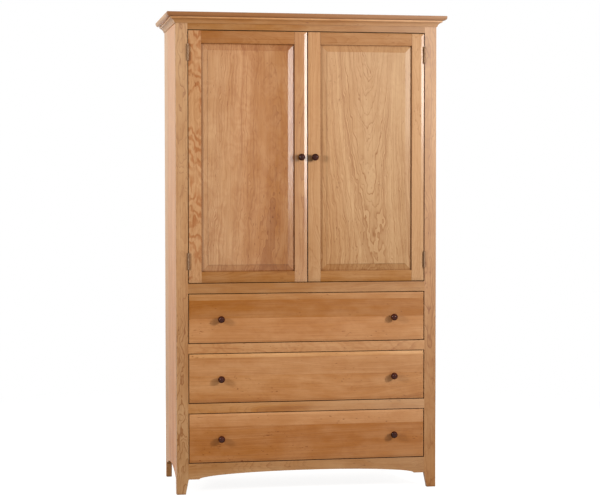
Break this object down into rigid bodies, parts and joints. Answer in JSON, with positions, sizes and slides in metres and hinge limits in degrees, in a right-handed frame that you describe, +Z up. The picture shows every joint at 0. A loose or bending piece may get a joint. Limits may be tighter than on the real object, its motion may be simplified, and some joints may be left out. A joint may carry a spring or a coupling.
{
  "type": "computer armoire",
  "caption": "Tall wooden armoire: hinged raised-panel doors close over a shelved compartment, full-width drawers slide below, under a cove crown and over an arched apron on tapered feet.",
  "frame": {"origin": "on the floor, in the middle of the crown's rectangular outline", "axes": "+X to the right as seen from the front, +Y to the back, +Z up"},
  "size_m": [1.142, 0.494, 1.928],
  "materials": {
    "cherry": "satin oil and lacquer",
    "knob_wood": "dark polished",
    "drawer_wood": "clear satin",
    "frame_wood": "bare, planed",
    "steel": "brushed",
    "catch_plastic": "moulded"
  },
  "bodies": {
    "case": {"arched_apron": "cherry", "back_boards": "cherry", "bottom_web_frame": "frame_wood", "crown_board": "cherry", "door_catches": "catch_plastic", "door_sill_rail": "cherry", "front_crown_cove": "cherry", "hinge_case_leaves": "steel", "hinge_pins": "steel", "left_crown_cove": "cherry", "left_side": "cherry", "left_stile": "cherry", "lower_drawer_rail": "cherry", "lower_web_frame": "frame_wood", "rear_top_rail": "frame_wood", "right_crown_cove": "cherry", "right_side": "cherry", "right_stile": "cherry", "shelf": "cherry", "shelf_cleats": "cherry", "top_rail": "cherry", "upper_drawer_rail": "cherry", "upper_web_frame": "frame_wood", "work_surface": "cherry", "work_surface_frame": "frame_wood"},
    "bottom_drawer": {"bottom_drawer_back": "drawer_wood", "bottom_drawer_bottom": "drawer_wood", "bottom_drawer_front": "cherry", "bottom_drawer_knobs": "knob_wood", "bottom_drawer_left_side": "drawer_wood", "bottom_drawer_right_side": "drawer_wood"},
    "left_door": {"left_door_bottom_rail": "cherry", "left_door_hinge_leaves": "steel", "left_door_hinge_stile": "cherry", "left_door_knob": "knob_wood", "left_door_meeting_stile": "cherry", "left_door_panel": "cherry", "left_door_strike": "steel", "left_door_top_rail": "cherry"},
    "middle_drawer": {"middle_drawer_back": "drawer_wood", "middle_drawer_bottom": "drawer_wood", "middle_drawer_front": "cherry", "middle_drawer_knobs": "knob_wood", "middle_drawer_left_side": "drawer_wood", "middle_drawer_right_side": "drawer_wood"},
    "right_door": {"right_door_bottom_rail": "cherry", "right_door_hinge_leaves": "steel", "right_door_hinge_stile": "cherry", "right_door_knob": "knob_wood", "right_door_meeting_stile": "cherry", "right_door_panel": "cherry", "right_door_strike": "steel", "right_door_top_rail": "cherry"},
    "top_drawer": {"top_drawer_back": "drawer_wood", "top_drawer_bottom": "drawer_wood", "top_drawer_front": "cherry", "top_drawer_knobs": "knob_wood", "top_drawer_left_side": "drawer_wood", "top_drawer_right_side": "drawer_wood"}
  },
  "joints": [
    {"name": "left_door_hinge", "type": "hinge", "parent": "case", "child": "left_door", "pos_m": [-0.4845, -0.2138, 0], "axis": [0, 0, -1], "range_deg": [0, 180]},
    {"name": "right_door_hinge", "type": "hinge", "parent": "case", "child": "right_door", "pos_m": [0.4845, -0.2138, 0], "axis": [0, 0, 1], "range_deg": [0, 180]},
    {"name": "top_drawer_slide", "type": "slide", "parent": "case", "child": "top_drawer", "axis": [0, -1, 0], "range_m": [0, 0.32]},
    {"name": "middle_drawer_slide", "type": "slide", "parent": "case", "child": "middle_drawer", "axis": [0, -1, 0], "range_m": [0, 0.32]},
    {"name": "bottom_drawer_slide", "type": "slide", "parent": "case", "child": "bottom_drawer", "axis": [0, -1, 0], "range_m": [0, 0.32]}
  ]
}
